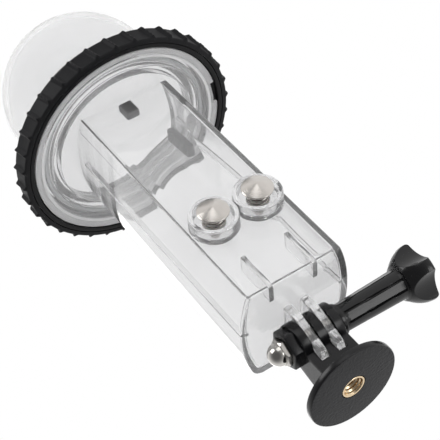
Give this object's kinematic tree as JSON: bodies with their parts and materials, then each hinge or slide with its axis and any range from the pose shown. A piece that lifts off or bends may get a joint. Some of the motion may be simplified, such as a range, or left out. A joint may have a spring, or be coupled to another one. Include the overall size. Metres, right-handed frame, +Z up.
{
  "type": "underwater camera housing",
  "caption": "Upright clear waterproof case for a slim camera, with a screw-on dome port, sprung push buttons and a tilting tripod foot.",
  "frame": {"origin": "on the surface that the foot stands on, under the dome's axis, in the middle of the part's bounding box", "axes": "+Z up the case to the dome, -Y to the side with the two push buttons, +X to the side with the thumb knob"},
  "size_m": [0.0826, 0.0826, 0.1852],
  "materials": {
    "clear_plastic": "clear, polished",
    "silicone": "translucent, satin",
    "ring_plastic": "satin",
    "grip_rubber": "satin",
    "foam": "open-celled foam",
    "turned_steel": "turned, bright",
    "spring_steel": "drawn wire and stamped sheet",
    "polished_steel": "polished",
    "white_nylon": "satin",
    "black_plastic": "moulded, half gloss",
    "insert_brass": "turned"
  },
  "bodies": {
    "case": {"housing_body": "clear_plastic", "port_seal": "silicone", "foam_pad_front": "foam", "foam_pad_side": "foam", "button_bush_left": "white_nylon", "button_bush_right": "white_nylon", "stem_seal_left": "silicone", "stem_seal_right": "silicone", "button_spring_left": "spring_steel", "button_spring_right": "spring_steel"},
    "port": {"dome_port": "clear_plastic"},
    "ring": {"lock_ring": "ring_plastic", "ring_grip": "grip_rubber"},
    "button_left": {"button_plunger_left": "turned_steel", "stem_clip_left": "spring_steel"},
    "button_right": {"button_plunger_right": "turned_steel", "stem_clip_right": "spring_steel"},
    "foot": {"tripod_foot": "black_plastic", "threaded_insert": "insert_brass", "acorn_nut": "polished_steel"},
    "thumb": {"thumb_screw": "turned_steel", "thumb_knob": "black_plastic"}
  },
  "joints": [
    {"name": "port_lift", "type": "slide", "parent": "case", "child": "port", "axis": [0, 0, 1], "range_m": [0, 0.006]},
    {"name": "ring_turn", "type": "hinge", "parent": "port", "child": "ring", "pos_m": [0, 0, 0.13], "axis": [0, 0, 1], "range_deg": [0, 720]},
    {"name": "button_press_left", "type": "slide", "parent": "case", "child": "button_left", "axis": [0, 1, 0], "range_m": [0, 0.0012], "stiffness_N_per_m": 600, "springref_m": -0.004, "deforming": ["button_spring_left"]},
    {"name": "button_press_right", "type": "slide", "parent": "case", "child": "button_right", "axis": [0, 1, 0], "range_m": [0, 0.0012], "stiffness_N_per_m": 600, "springref_m": -0.004, "deforming": ["button_spring_right"]},
    {"name": "foot_tilt", "type": "hinge", "parent": "case", "child": "foot", "pos_m": [0, 0.0008, 0.0194], "axis": [1, 0, 0], "range_deg": [-60, 60]},
    {"name": "thumb_turn", "type": "hinge", "parent": "foot", "child": "thumb", "pos_m": [0, 0.0008, 0.0194], "axis": [1, 0, 0], "range_deg": [0, 1080]}
  ],
  "couplings": [
    {"joint": "ring_turn", "follows": "port_lift", "rad_per_m": 2094.4}
  ]
}
